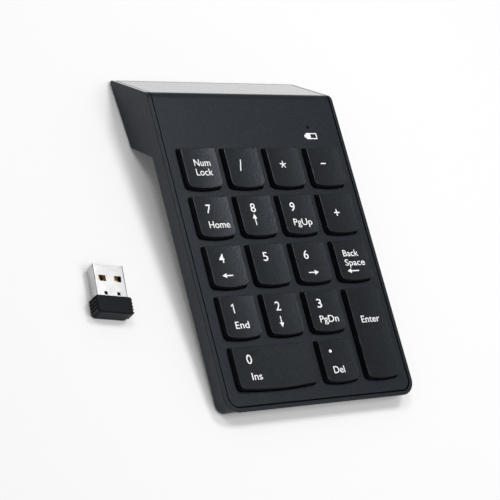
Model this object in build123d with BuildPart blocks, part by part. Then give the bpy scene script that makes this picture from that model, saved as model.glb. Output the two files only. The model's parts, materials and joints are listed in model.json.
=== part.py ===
from build123d import *
from math import asin, atan2, cos, hypot, radians, sin, tan
import os

os.makedirs("parts", exist_ok=True)

# Key field
columns = 4
rows = 5
key_pitch = 19.0
key_width = 15.0  # across the top of a single key
key_depth = 15.6  # front to back, over the bowed front edge
key_bow = 0.9  # how far the front edge bows towards the user
key_rise = 2.5  # top of the key above the deck
key_skirt = 0.5  # skirt below the deck at rest
key_flare = 0.35  # growth of each side from the top to the skirt
key_wall = 1.0
key_roof = 1.2
key_dish = 0.35  # depth of the hollow across the top
key_travel = 2.0
key_gap = 0.65  # between the top of a key and its opening
key_front_radius = 1.8
key_back_radius = 0.6
key_edge_radius = 0.25

# Housing
side_margin = 6.6  # from the outer keys to the side of the housing
case_thickness = 6.6  # height of the side wall in front of the foot
front_undercut = 1.6  # how far the front wall leans back over its height
corner_radius = 6.0
corner_taper = 2.4  # how much tighter the corners are at the underside
front_margin = 7.0  # from the front edge to the nearest key
ridge_margin = 22.9  # from the farthest keys to the ridge
back_lean = 42.6  # degrees of the back face from upright
foot_lean = 44.4  # degrees of the foot's front face from upright
ridge_radius = 4.0
rim = 1.55  # wall of the bottom case that frames the cover
seam = 0.4  # groove between the cover and the rim
edge_radius = 0.4
cover_wall = 1.5
cover_edge_radius = 0.3
case_floor = 1.1
foot_wall = 1.5
foot_floor = 1.6
foot_edge_radius = 0.8
desk_gap = 0.5  # height of the housing above the desk, taken up by the pads

# Wells and guides under the keys
well_wall = 0.9
well_floor = 0.8
skirt_clearance = 0.5
stem_radius = 5.0
stem_wall = 0.7
guide_clearance = 0.15
sleeve_wall = 0.9
tab_width = 2.0
tab_reach = 0.6
tab_height = 0.8
tab_clearance = 0.1
tab_side_clearance = 0.2

# Switch stack, from the floor up
plate_thickness = 0.4
film_thickness = 0.1
dome_web = 0.3
dome_radius = 4.0
dome_top_radius = 2.0
dome_wall = 0.5
dome_solid = 0.5  # height left when a dome is pressed flat
dome_nub_gap = 0.6  # from the films to the nub inside a dome
dome_roof = 0.8
film_hole_radius = 3.0
sheet_margin = 0.3
tail_width = 15.0
tail_hold = 4.0  # length of the tail that lies on the films
tail_reach = 2.5  # length of the tail under the circuit board
tail_offset = -12.0

# Stabiliser wires
wire_radius = 0.4
wire_half_span = 12.0
wire_arm = 7.5
wire_end = 1.8
wire_bend = 1.0
wire_play = 0.12
wire_end_drop = 1.2  # end of the wire below the underside of the key's roof
bar_margin = 0.55
lug_thickness = 1.2
lug_gap = 0.3
lug_lip = 0.45
lug_side = 0.7
trough_wall = 0.45
clip_span = 6.0
clip_width = 2.0
clip_thickness = 0.3
clip_gap = 0.1

# Cells and their contacts
cell_diameter = 10.5
cell_length = 44.5
cell_nub_radius = 1.9
cell_nub_length = 1.0
cell_gap = 0.2
rear_cell_gap = 0.3  # from the rear cell to the back wall
cell_headroom = 1.3
contact_thickness = 0.3
bump_height = 0.8
bump_radius = 2.6
contact_taper = 30.0
spring_cone = 18.0
spring_length = 3.2
spring_radius = 3.2
spring_wire_radius = 0.25
spring_turns = 3
contact_height = 7.6
contact_width = 7.6
contact_tail = 2.4
contact_clearance = 0.05
contact_slot_gap = 0.15
bay_wall = 1.2
bay_roof_thickness = 1.0

# Battery door
door_thickness = 1.4
door_clearance = 0.2
door_back_margin = 5.0
tongue_width = 0.8
tongue_thickness = 0.6
tongue_clearance = 0.15
tongue_rise = 0.4  # underside of the tongue above the underside of the door
tongue_setback = 2.0
grip_length = 14.0
grip_width = 0.7
grip_pitch = 1.6
grip_depth = 0.4
grip_grooves = 5
grip_setback = 8.0

# Circuit board
board_width = 70.0
board_depth = 20.0
board_thickness = 1.0
board_ridge_gap = 0.5  # from the ridge to the back edge of the board
standoff_radius = 2.2
post_radius = 1.8
post_length = 3.0
board_screw_inset = 3.5
lamp_x = 26.7
lamp_ridge_gap = 13.5  # from the ridge to the lamp
lamp_hole_radius = 0.6
lamp_flange_radius = 1.2
lamp_flange = 0.5
lamp_clearance = 0.05
lamp_height = 0.6
lamp_gap = 0.2
chip_side = 5.0
chip_height = 0.9
chip_place = (8.0, 0.6)  # from the middle of the board, as are the places below
crystal_size = (3.2, 2.5, 0.8)
crystal_place = (15.0, 1.6)
small_part_size = (1.6, 0.8, 0.6)
small_part_pitch = 3.2
small_part_place = (-12.0, 0.6)

# Screws
screw_radius = 0.85
screw_head_radius = 1.5
screw_head_height = 0.9
recess_width = 0.3  # arms of the cross recess in the screw heads
screw_clearance = 0.05
head_clearance = 0.1
boss_radius = 1.6
boss_margin = 0.6
screw_inset = 3.65  # from the side of the housing
screw_tip_gap = 0.3
screw_seat = 0.3  # seat of the head above the inner floor
board_screw_radius = 0.8
board_head_radius = 1.4
board_head_height = 0.8

# Pads
pad_radius = 3.0
pad_recess = 0.45
pad_clearance = 0.05
front_pad_y = 8.5
front_pad_inset = 9.6  # from the side of the housing
back_pad_inset = 6.6
back_pad_setback = 6.5  # from the foot of the back face

# Power switch
switch_gap = 2.4  # from the wall of the battery bay
switch_setback = 6.0  # from the front of the foot
switch_length = 8.6
switch_depth = 3.7
switch_height = 3.4
switch_knob_height = 1.1
switch_slot_length = 5.2
switch_slot_depth = 2.0
switch_knob_length = 2.6
switch_knob_depth = 1.6
switch_travel = 2.4
switch_recess = 0.3
lead_radius = 0.4
lead_pitch = 2.5

# Receiver
plug_width = 12.0
plug_height = 4.5
plug_length = 12.1
plug_wall = 0.3
plug_hold = 3.0  # length of the shell inside the cap
plug_window_width = 2.7
plug_window_length = 2.3
plug_window_pitch = 6.0
plug_window_inset = 5.3
plug_notch_width = 1.2
plug_notch_length = 1.3
plug_notch_pitch = 5.0
plug_notch_gap = 0.4  # between a notch and the cap
tongue_height = 1.9
tongue_gap = 0.05
gold_thickness = 0.2
gold_width = 1.4
gold_places = (-3.5, -1.0, 1.0, 3.5)
gold_length = 8.5
plug_radius = 0.6
cap_width = 14.4
cap_height = 6.0
cap_length = 6.7
cap_radius = 1.6
cap_end_radius = 0.8
cap_rib = 0.35
cap_ribs = 5
cap_rib_pitch = 1.25
cap_rib_width = 0.5
cap_step = 0.25
cap_step_length = 2.1
cap_edge = 0.7
receiver_offset = 29.45  # from the side of the housing to the middle of the receiver
receiver_y = 50.4  # from the front edge to the middle of the receiver
receiver_turn = 8.0  # degrees, clockwise from above
receiver_board_size = (10.6, 4.1, 0.8)
receiver_board_clearance = 0.3

# Heights measured from the deck surface, upwards
well_bottom = -(key_skirt + key_travel + skirt_clearance)
well_underside = well_bottom - well_floor
underside = -case_thickness
floor_top = underside + case_floor
plate_top = floor_top + plate_thickness
films_top = plate_top + 3 * film_thickness
web_top = films_top + dome_web
boss_bottom = web_top + key_travel + dome_solid
stem_bottom = web_top + key_travel + tab_clearance
roof_underside = key_rise - key_roof
sleeve_top = roof_underside - key_travel - 2 * guide_clearance
bay_roof_top = plate_top
bay_roof_underside = bay_roof_top - bay_roof_thickness
board_bottom = films_top
board_top = board_bottom + board_thickness

# The housing is as wide and as deep as the field of keys and its margins
key_field_width = (columns - 1) * key_pitch + key_width
key_field_depth = (rows - 1) * key_pitch + key_depth
case_width = key_field_width + 2 * side_margin
deck_length = front_margin + key_field_depth + ridge_margin

# The foot is as tall as the cells and everything above them need, which sets the tilt of the deck
cell_radius = cell_diameter / 2
cell_height = desk_gap + door_thickness + door_clearance + cell_radius
ridge_height = cell_height + cell_radius + cell_headroom - bay_roof_underside
deck_run = deck_length - front_undercut
tilt = asin((ridge_height - desk_gap) / hypot(deck_run, case_thickness)) - atan2(case_thickness, deck_run)
front_height = desk_gap + case_thickness * cos(tilt) - front_undercut * sin(tilt)
front_lean = front_undercut / case_thickness
corner_lean = corner_taper / case_thickness
back = radians(back_lean)
foot = radians(foot_lean)


def side_point(y, z):
    # point of the side view, from the front edge and the desk, of a place on or under the deck
    return (y * cos(tilt) - z * sin(tilt), front_height + y * sin(tilt) + z * cos(tilt))


def deck_drop(y, z):
    # distance above the deck surface of a point of the side view
    return (z - front_height) * cos(tilt) - y * sin(tilt)


ridge = side_point(deck_length, 0)
back_y = ridge[0] + (ridge[1] - desk_gap) * tan(back)
cell_lift = cell_height - desk_gap
rear_cell_y = back_y - (cover_wall + cell_radius + rear_cell_gap + cell_lift * sin(back)) / cos(back)
front_cell_y = rear_cell_y - cell_diameter - cell_gap
foot_front_y = front_cell_y - (foot_wall + cell_radius + cell_gap - cell_lift * sin(foot)) / cos(foot)
foot_floor_top = desk_gap + foot_floor


def back_at_height(depth, z):
    # point at a height on the surface that lies a depth inside the back face
    return (back_y - depth / cos(back) - (z - desk_gap) * tan(back), z)


def back_below_deck(depth, drop):
    # where the surface a depth inside the back face meets the one a drop below the deck
    base = back_y - depth / cos(back) + desk_gap * tan(back)
    height = (front_height * cos(tilt) + base * sin(tilt) - drop) / (cos(tilt) + tan(back) * sin(tilt))
    return (base - height * tan(back), height)


def foot_at_height(depth, z):
    # point at a height on the surface that lies a depth inside the foot's front face
    return (foot_front_y + depth / cos(foot) - (z - desk_gap) * tan(foot), z)


def foot_below_deck(depth, drop):
    # where the surface a depth inside the foot's front face meets the one a drop below the deck
    start = foot_at_height(depth, desk_gap)
    rise = (-drop - deck_drop(*start)) / cos(foot - tilt)
    return (start[0] - rise * sin(foot), start[1] + rise * cos(foot))


# The origin is on the desk, under the middle of the keypad and receiver taken together
receiver_length = plug_length + cap_length
turn = radians(receiver_turn)
receiver_half_span = (cap_width * cos(turn) + receiver_length * sin(turn)) / 2
case_x = (receiver_offset + receiver_half_span) / 2
front_y = -back_y / 2
deck = Plane(origin=(case_x, front_y, front_height), x_dir=(1, 0, 0), z_dir=(0, -sin(tilt), cos(tilt)))
side_view = Plane(origin=(case_x, front_y, 0), x_dir=(0, 1, 0), z_dir=(1, 0, 0))
desk = Plane(origin=(case_x, front_y, 0))
deck_up = Axis(deck.origin, deck.z_dir)

# Key name, column and row counted from the back left, columns wide, rows deep
keys = [
    ("key_num_lock", 0, 0, 1, 1),
    ("key_divide", 1, 0, 1, 1),
    ("key_multiply", 2, 0, 1, 1),
    ("key_minus", 3, 0, 1, 1),
    ("key_7", 0, 1, 1, 1),
    ("key_8", 1, 1, 1, 1),
    ("key_9", 2, 1, 1, 1),
    ("key_plus", 3, 1, 1, 1),
    ("key_4", 0, 2, 1, 1),
    ("key_5", 1, 2, 1, 1),
    ("key_6", 2, 2, 1, 1),
    ("key_backspace", 3, 2, 1, 1),
    ("key_1", 0, 3, 1, 1),
    ("key_2", 1, 3, 1, 1),
    ("key_3", 2, 3, 1, 1),
    ("key_enter", 3, 3, 1, 2),
    ("key_0", 0, 4, 2, 1),
    ("key_decimal", 2, 4, 1, 1),
]
last_row_y = front_margin + key_depth / 2
first_row_y = last_row_y + (rows - 1) * key_pitch


def key_place(column, row, wide, deep):
    # centre of a key on the deck
    x = (column + (wide - columns) / 2) * key_pitch
    y = first_row_y - (row + (deep - 1) / 2) * key_pitch
    return x, y


def key_size(wide, deep):
    return key_width + (wide - 1) * key_pitch, key_depth + (deep - 1) * key_pitch


def key_outline(wide, deep, grow, front_radius, back_radius):
    # plan of a key: straight sides and back, and a front edge that bows towards the user
    width, depth = key_size(wide, deep)
    side = width / 2 + grow
    end = depth / 2 + grow
    with BuildSketch() as outline:
        with BuildLine():
            Polyline((-side, key_bow - end), (-side, end), (side, end), (side, key_bow - end))
            ThreePointArc((side, key_bow - end), (0, -end), (-side, key_bow - end))
        make_face()
        fillet(outline.vertices().sort_by(Axis.Y)[:2], radius=front_radius)
        fillet(outline.vertices().sort_by(Axis.Y)[-2:], radius=back_radius)
    return outline.sketch


def plane_at(x, y, z=0.0, quarter_turn=False):
    # plane parallel to the deck at a place on it
    centre = deck.from_local_coords((x, y, z))
    return Plane(origin=centre, x_dir=deck.y_dir if quarter_turn else deck.x_dir, z_dir=deck.z_dir)


def prism(plane, bottom, top, outline, mode=Mode.ADD):
    # straight prism of an outline between two heights over a plane
    with BuildSketch(plane.offset(bottom)) as base:
        add(outline)
    extrude(base.sketch, amount=top - bottom, mode=mode)


def block(plane, x_range, y_range, z_range, mode=Mode.ADD):
    # box between two places along each direction of a plane
    with BuildSketch(plane.offset(z_range[0])) as base:
        with Locations((sum(x_range) / 2, sum(y_range) / 2)):
            Rectangle(x_range[1] - x_range[0], y_range[1] - y_range[0])
    extrude(base.sketch, amount=z_range[1] - z_range[0], mode=mode)


def post(plane, places, radius, bottom, top, mode=Mode.ADD):
    # round posts or holes at places on a plane, between two heights
    with BuildSketch(plane.offset(bottom)) as base:
        with Locations(*places):
            Circle(radius)
    extrude(base.sketch, amount=top - bottom, mode=mode)


def side_prism(points, x_range, mode=Mode.ADD):
    # prism of a side-view polygon between two distances from the middle of the housing
    with BuildSketch(side_view.offset(x_range[0])) as base:
        with BuildLine():
            Polyline(*points, close=True)
        make_face()
    extrude(base.sketch, amount=x_range[1] - x_range[0], mode=mode)


def tray(top, bottom, inset, end, mode=Mode.ADD):
    # slab with the plan of the housing, inset from its sides; its front face leans back as it goes down
    # and its corners grow tighter
    plans = []
    for height in (bottom, top):
        front = inset - front_lean * height
        with BuildSketch(deck.offset(height)) as plan:
            with Locations((0, (front + end) / 2)):
                Rectangle(case_width - 2 * inset, end - front)
            corner = corner_radius - inset + corner_lean * height
            fillet(plan.vertices().sort_by(Axis.Y)[:2], radius=corner)
        plans.append(plan.sketch.face())
    loft(plans, mode=mode)


def write(part, name):
    part.label = name
    export_step(part, "parts/" + name + ".step")


# Stabiliser geometry, seen from the key that it levels: the bar lies in the well floor beside one
# edge of the opening, and its arms reach under the key
bar_height = well_bottom - wire_radius
end_height = roof_underside - wire_end_drop
bar_to_end = end_height - bar_height
rest_angle = asin(bar_to_end / wire_arm)
pressed_angle = asin((bar_to_end - key_travel) / wire_arm)
end_reach_rest = wire_arm * cos(rest_angle)
end_reach_pressed = wire_arm * cos(pressed_angle)
bar_inset = wire_radius + wire_play + bar_margin


def stabiliser_plane(wide, deep, place):
    # the long side of the key runs along the plane's x
    return plane_at(*place, quarter_turn=deep > wide)


def bar_offset(wide, deep):
    # from the middle of the key to the bar
    width, depth = key_size(wide, deep)
    return min(width, depth) / 2 + key_gap - bar_inset


def stabilised(wide, deep):
    return wide != deep


# Shared places
case_half = case_width / 2
inner_half = case_half - rim
cover_half = inner_half - seam
bay_half = (cell_length + bump_height + spring_length) / 2 + contact_thickness + contact_clearance
foot_corner = foot_below_deck(0, case_thickness)
foot_corner_y = foot_corner[0] * cos(tilt) + (foot_corner[1] - front_height) * sin(tilt)
bay_front_y = foot_corner_y - foot_wall * (1 - sin(foot - tilt)) / cos(foot - tilt)
screw_x = case_half - screw_inset
head_room = screw_head_radius + head_clearance
boss_inner = screw_x - head_room - boss_margin
screw_rows = (corner_radius, (corner_radius + first_row_y) / 2, first_row_y + key_depth / 4)
screw_places = [(side * screw_x, y) for y in screw_rows for side in (-1, 1)]
screw_seat_height = floor_top + screw_seat
sheet_half = boss_inner - sheet_margin
sheet_front = rim + front_undercut + sheet_margin
sheet_back = first_row_y + key_depth / 2 + well_wall
key_places = [key_place(*grid) for name, *grid in keys]
board_back = deck_length - board_ridge_gap
board_front = board_back - board_depth
board_y = (board_front + board_back) / 2
board_screw_x = board_width / 2 - board_screw_inset
board_screw_places = [(-board_screw_x, board_y), (board_screw_x, board_y)]
lamp_place = (lamp_x, deck_length - lamp_ridge_gap)
door_half = bay_half - door_clearance * 2
door_back = back_y - door_back_margin
door_top = desk_gap + door_thickness
far_back = deck_length + case_width
switch_x = bay_half + bay_wall + switch_gap + switch_length / 2
switch_y = foot_front_y + switch_setback
front_pad_x = case_half - front_pad_inset
back_pad_x = case_half - back_pad_inset

# Bottom case: tray, side rims, foot and battery bay
with BuildPart() as bottom_case:
    tray(0, underside, 0, foot_corner_y)
    block_start = foot_corner_y - case_thickness
    foot_points = [
        side_point(block_start, 0),
        side_point(block_start, underside),
        foot_corner,
        foot_at_height(0, desk_gap),
        back_at_height(0, desk_gap),
        ridge,
    ]
    with BuildSketch(side_view) as foot_profile:
        with BuildLine():
            Polyline(*foot_points, close=True)
        make_face()
        fillet(foot_profile.vertices().sort_by_distance((*foot_corner, 0))[0], radius=foot_wall)
        for corner in foot_points[3:5]:
            fillet(foot_profile.vertices().sort_by_distance((*corner, 0))[0], radius=foot_edge_radius)
        fillet(foot_profile.vertices().sort_by_distance((*ridge, 0))[0], radius=ridge_radius)
    extrude(amount=case_half, both=True)
    side_faces = bottom_case.faces().filter_by(Axis.X)
    fillet(side_faces.edges(), radius=edge_radius)

    # room for the switch stack, the board and the cells
    tray(seam, floor_top, rim, bay_front_y, mode=Mode.SUBTRACT)
    roof_line = [side_point(bay_front_y - edge_radius, bay_roof_top), side_point(far_back, bay_roof_top)]
    side_prism(
        roof_line + [side_point(far_back, seam), side_point(bay_front_y - edge_radius, seam)],
        (-inner_half, inner_half),
        mode=Mode.SUBTRACT,
    )
    bay_points = [
        foot_below_deck(foot_wall, -bay_roof_underside),
        foot_at_height(foot_wall, foot_floor_top),
        (back_y + case_width, foot_floor_top),
        side_point(far_back, bay_roof_underside),
    ]
    for room in ((-inner_half, -bay_half - bay_wall), (-bay_half, bay_half), (bay_half + bay_wall, inner_half)):
        side_prism(bay_points, room, mode=Mode.SUBTRACT)
    cover_room = cover_wall + door_clearance
    side_prism(
        [
            back_at_height(-cover_wall, foot_floor_top),
            back_at_height(cover_room, foot_floor_top),
            back_below_deck(cover_room, -seam),
            back_below_deck(-cover_wall, -seam),
        ],
        (-inner_half, inner_half),
        mode=Mode.SUBTRACT,
    )

    # screw bosses beside the key field, counterbored from below
    for side, y in screw_places:
        reach = (boss_inner, inner_half + rim / 2) if side > 0 else (-inner_half - rim / 2, -boss_inner)
        half_boss = head_room + boss_margin
        boss_top = well_underside - contact_clearance
        block(deck, reach, (y - half_boss, y + half_boss), (floor_top - case_floor / 2, boss_top))
    post(deck, screw_places, head_room, underside, screw_seat_height, mode=Mode.SUBTRACT)
    post(deck, screw_places, screw_radius + screw_clearance, underside, well_underside, mode=Mode.SUBTRACT)

    # seats and posts that the board is screwed to
    board_post_bottom = bay_roof_underside - post_length
    post(deck, board_screw_places, standoff_radius, bay_roof_top, board_bottom)
    post(deck, board_screw_places, post_radius, board_post_bottom, bay_roof_underside)
    board_hole = board_screw_radius + screw_clearance
    post(deck, board_screw_places, board_hole, board_post_bottom, board_bottom, mode=Mode.SUBTRACT)

    # door opening with a groove along each side
    door_range = (foot_front_y - case_thickness, door_back + door_clearance)
    opening_half = door_half + door_clearance
    block(desk, (-opening_half, opening_half), door_range, (0, foot_floor_top), mode=Mode.SUBTRACT)
    tongue_range = (desk_gap + tongue_rise, desk_gap + tongue_rise + tongue_thickness)
    groove_half = door_half + tongue_width + tongue_clearance
    block(
        desk,
        (-groove_half, groove_half),
        door_range,
        (tongue_range[0] - tongue_clearance, tongue_range[1] + tongue_clearance),
        mode=Mode.SUBTRACT,
    )

    # slots for the contact tails, the switch and its leads
    tail_side = bay_half - contact_clearance - contact_thickness
    for cell_y in (front_cell_y, rear_cell_y):
        tail_start = cell_y - contact_width / 2
        block(
            desk,
            (tail_side - contact_slot_gap, bay_half + contact_slot_gap),
            (tail_start - contact_slot_gap, tail_start + contact_tail + contact_slot_gap),
            (cell_height, ridge_height),
            mode=Mode.SUBTRACT,
        )
    block(
        desk,
        (switch_x - switch_slot_length / 2, switch_x + switch_slot_length / 2),
        (switch_y - switch_slot_depth / 2, switch_y + switch_slot_depth / 2),
        (0, foot_floor_top),
        mode=Mode.SUBTRACT,
    )
    lead_room = 2 * lead_radius
    block(
        desk,
        (switch_x - lead_pitch - lead_room, switch_x + lead_pitch + lead_room),
        (switch_y - lead_room, switch_y + lead_room),
        (cell_height, ridge_height),
        mode=Mode.SUBTRACT,
    )

    # recesses for the pads
    front_pad_run = (front_pad_y + underside * sin(tilt)) / cos(tilt)
    front_pad_top = side_point(front_pad_run, underside)[1] + pad_recess
    front_pads = [(-front_pad_x, front_pad_y), (front_pad_x, front_pad_y)]
    back_pads = [(-back_pad_x, back_y - back_pad_setback), (back_pad_x, back_y - back_pad_setback)]
    post(desk, front_pads, pad_radius + pad_clearance, 0, front_pad_top, mode=Mode.SUBTRACT)
    post(desk, back_pads, pad_radius + pad_clearance, 0, desk_gap + pad_recess, mode=Mode.SUBTRACT)
write(bottom_case.part, "bottom_case")

# Top cover: deck, back face and wells
with BuildPart() as top_cover:
    tray(0, -cover_wall, rim + seam, first_row_y)
    with BuildSketch(side_view) as cover_profile:
        cover_points = [
            side_point(last_row_y, 0),
            side_point(last_row_y, -cover_wall),
            back_below_deck(cover_wall, cover_wall),
            back_at_height(cover_wall, foot_floor_top + seam),
            back_at_height(0, foot_floor_top + seam),
            ridge,
        ]
        with BuildLine():
            Polyline(*cover_points, close=True)
        make_face()
        fillet(cover_profile.vertices().sort_by_distance((*ridge, 0))[0], radius=ridge_radius)
        inner_ridge = cover_profile.vertices().sort_by_distance((*cover_points[2], 0))[0]
        fillet(inner_ridge, radius=ridge_radius - cover_wall)
    extrude(amount=cover_half, both=True)
    front_edge = top_cover.faces().sort_by(deck_up)[-1].edges().sort_by(Axis.Y)[0]
    fillet(front_edge, radius=cover_edge_radius)

    # one block holds all the wells, and each key has an opening down to its well floor
    field_half = key_field_width / 2 + key_gap + well_wall
    field_front = last_row_y - key_depth / 2 - key_gap - well_wall
    field_back = first_row_y + key_depth / 2 + key_gap + well_wall
    block(deck, (-field_half, field_half), (field_front, field_back), (well_underside, -cover_wall / 2))
    post(deck, screw_places, boss_radius, well_underside, -cover_wall / 2)
    with BuildSketch(deck.offset(well_bottom)):
        for name, column, row, wide, deep in keys:
            with Locations(key_place(column, row, wide, deep)):
                opening_front = key_front_radius + key_gap / 2
                add(key_outline(wide, deep, key_gap, opening_front, key_back_radius + key_gap / 2))
    extrude(amount=-well_bottom, mode=Mode.SUBTRACT)

    # round guide sleeves, slotted for the tabs that keep the keys in
    sleeve_inner = stem_radius + guide_clearance
    sleeve_outer = sleeve_inner + sleeve_wall
    post(deck, key_places, sleeve_outer, well_underside, sleeve_top)
    post(deck, key_places, sleeve_inner, well_underside, sleeve_top, mode=Mode.SUBTRACT)
    slot_top = stem_bottom + tab_height + tab_clearance
    with BuildSketch(deck.offset(well_underside)):
        with Locations(*key_places):
            Rectangle(2 * (sleeve_outer + tab_clearance), tab_width + 2 * tab_side_clearance)
    extrude(amount=slot_top - well_underside, mode=Mode.SUBTRACT)

    # trough, arm slots and clips for each stabiliser wire
    for name, column, row, wide, deep in keys:
        if stabilised(wide, deep):
            near = stabiliser_plane(wide, deep, key_place(column, row, wide, deep))
            bar = bar_offset(wide, deep)
            room = wire_radius + wire_play
            trough_bottom = bar_height - room
            span = wire_half_span + room
            block(
                near,
                (-span - trough_wall, span + trough_wall),
                (bar - room - trough_wall, bar + room + trough_wall),
                (trough_bottom - trough_wall, well_bottom),
            )
            block(near, (-span, span), (bar - room, bar + room), (trough_bottom, well_bottom), mode=Mode.SUBTRACT)
            for side in (-1, 1):
                arm_ends = sorted((side * (wire_half_span - wire_bend - room), side * span))
                arm_room = (bar - wire_arm, bar + room)
                block(near, arm_ends, arm_room, (well_underside, well_bottom), mode=Mode.SUBTRACT)
                clip = (side * clip_span - clip_width / 2, side * clip_span + clip_width / 2)
                clip_bottom = well_bottom + clip_gap
                clip_reach = (bar - room, bar + bar_inset + well_wall / 2)
                block(near, clip, clip_reach, (clip_bottom, clip_bottom + clip_thickness))

    # screw holes and the lamp hole
    hole = screw_radius + screw_clearance
    post(deck, screw_places, hole, well_underside, screw_tip_gap - cover_wall, mode=Mode.SUBTRACT)
    post(deck, [lamp_place], lamp_hole_radius, -cover_wall, 0, mode=Mode.SUBTRACT)
write(top_cover.part, "top_cover")

# Battery door: slides forward out of its grooves
with BuildPart() as battery_door:
    side_prism(
        [
            foot_at_height(0, desk_gap),
            (door_back, desk_gap),
            (door_back, door_top),
            foot_at_height(0, door_top),
        ],
        (-door_half, door_half),
    )
    tongue_half = door_half + tongue_width
    block(desk, (-tongue_half, tongue_half), (foot_front_y + tongue_setback, door_back), tongue_range)
    front_corner = battery_door.edges().filter_by(Axis.X).sort_by(Axis.Z).sort_by(Axis.Y)[0]
    fillet(front_corner, radius=edge_radius)
    with BuildSketch(desk.offset(desk_gap)):
        with Locations((0, foot_front_y + grip_setback)):
            with GridLocations(0, grip_pitch, 1, grip_grooves):
                Rectangle(grip_length, grip_width)
    extrude(amount=grip_depth, mode=Mode.SUBTRACT)
write(battery_door.part, "battery_door")


def keycap(name, column, row, wide, deep):
    place = key_place(column, row, wide, deep)
    centre = plane_at(*place)
    width, depth = key_size(wide, deep)
    with BuildPart() as cap:
        shell = []
        hollow = []
        inner_front = key_front_radius - key_wall
        for height, grow in ((-key_skirt, key_flare), (key_rise, 0)):
            with BuildSketch(centre.offset(height)) as section:
                add(key_outline(wide, deep, grow, key_front_radius + grow, key_back_radius + grow))
            shell.append(section.sketch.face())
        for height, grow in ((-key_skirt, key_flare - key_wall), (roof_underside, -key_wall)):
            with BuildSketch(centre.offset(height)) as section:
                add(key_outline(wide, deep, grow, inner_front, key_back_radius))
            hollow.append(section.sketch.face())
        loft(shell)
        loft(hollow, mode=Mode.SUBTRACT)

        # shallow hollow across the top, a little wider than the key so that it runs off both sides
        half_chord = width / 2 + key_gap
        dish_radius = (half_chord**2 / key_dish + key_dish) / 2
        across = Plane(origin=centre.origin, x_dir=deck.x_dir, z_dir=-deck.y_dir)
        with BuildSketch(across) as dish:
            with Locations((0, key_rise - key_dish + dish_radius)):
                Circle(dish_radius)
        extrude(dish.sketch, amount=depth, both=True, mode=Mode.SUBTRACT)
        fillet(cap.faces().sort_by(deck_up)[-1].edges(), radius=key_edge_radius)

        # hollow stem with its two tabs, and the boss that presses the dome
        post(centre, [(0, 0)], stem_radius, stem_bottom, roof_underside)
        tab_half = stem_radius + tab_reach
        block(centre, (-tab_half, tab_half), (-tab_width / 2, tab_width / 2), (stem_bottom, stem_bottom + tab_height))
        post(centre, [(0, 0)], stem_radius - stem_wall, stem_bottom, roof_underside, mode=Mode.SUBTRACT)
        post(centre, [(0, 0)], dome_top_radius, boss_bottom, roof_underside)

        if stabilised(wide, deep):
            near = stabiliser_plane(wide, deep, place)
            bar = bar_offset(wide, deep)
            room = wire_radius + wire_play
            slot_y = (bar - end_reach_pressed - room, bar - end_reach_rest + room)
            slot_z = (end_height - room, end_height + room)
            for side in (-1, 1):
                lug_start = wire_half_span + wire_radius + lug_gap
                lug = sorted((side * lug_start, side * (lug_start + lug_thickness)))
                block(near, lug, (slot_y[0] - lug_side, slot_y[1] + lug_side), (slot_z[0] - lug_lip, roof_underside))
                block(near, lug, slot_y, slot_z, mode=Mode.SUBTRACT)
    write(cap.part, name)


for key in keys:
    keycap(*key)


def stabiliser(name, column, row, wide, deep):
    # one bent wire: the bar, an arm at each end and a short end turned outwards
    near = stabiliser_plane(wide, deep, key_place(column, row, wide, deep))
    bar_middle = near.from_local_coords((0, bar_offset(wide, deep), bar_height))
    arm_dir = near.z_dir * sin(rest_angle) - near.y_dir * cos(rest_angle)
    wire_plane = Plane(origin=bar_middle, x_dir=near.x_dir, z_dir=near.x_dir.cross(arm_dir))
    span = wire_half_span
    tip = wire_half_span + wire_end
    with BuildPart() as wire:
        with BuildLine(wire_plane) as route:
            FilletPolyline(
                (-tip, wire_arm),
                (-span, wire_arm),
                (-span, 0),
                (span, 0),
                (span, wire_arm),
                (tip, wire_arm),
                radius=wire_bend,
            )
        start = route.wire()
        with BuildSketch(Plane(origin=start @ 0, z_dir=start % 0)) as section:
            Circle(wire_radius)
        sweep(section.sketch, path=start)
    write(wire.part, name)


for key in keys:
    if stabilised(*key[3:]):
        stabiliser(key[0].replace("key_", "stabiliser_"), *key[1:])

# Rubber dome sheet: a web with one hollow dome under each key
with BuildPart() as dome_sheet:
    block(deck, (-sheet_half, sheet_half), (sheet_front, sheet_back), (films_top, web_top))
    post(deck, key_places, dome_radius - dome_wall, films_top, web_top, mode=Mode.SUBTRACT)
    dome_inner_top = boss_bottom - dome_roof
    nub_bottom = films_top + dome_nub_gap
    nub_radius = dome_top_radius / 2
    dome_points = [
        (dome_radius, films_top),
        (dome_radius, web_top),
        (dome_top_radius, boss_bottom - dome_wall),
        (dome_top_radius, boss_bottom),
        (0, boss_bottom),
        (0, nub_bottom),
        (nub_radius, nub_bottom),
        (nub_radius, dome_inner_top),
        (dome_top_radius - dome_wall / 2, dome_inner_top),
        (dome_radius - dome_wall, web_top),
        (dome_radius - dome_wall, films_top),
    ]
    for place in key_places:
        centre = plane_at(*place)
        with BuildSketch(Plane(origin=centre.origin, x_dir=deck.x_dir, z_dir=-deck.y_dir)) as dome:
            with BuildLine():
                Polyline(*dome_points, close=True)
            make_face()
        revolve(dome.sketch, axis=Axis(centre.origin, deck.z_dir))
write(dome_sheet.part, "dome_sheet")

# Three contact films; the outer two reach under the circuit board with a tail
for layer, name in enumerate(("membrane_lower", "membrane_spacer", "membrane_upper")):
    layer_range = (plate_top + layer * film_thickness, plate_top + (layer + 1) * film_thickness)
    with BuildPart() as film:
        block(deck, (-sheet_half, sheet_half), (sheet_front, sheet_back), layer_range)
        tail = (tail_offset - tail_width / 2, tail_offset + tail_width / 2)
        block(deck, tail, (sheet_back - tail_hold, board_front + tail_reach), layer_range)
        if name == "membrane_spacer":
            post(deck, key_places, film_hole_radius, *layer_range, mode=Mode.SUBTRACT)
    write(film.part, name)

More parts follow.
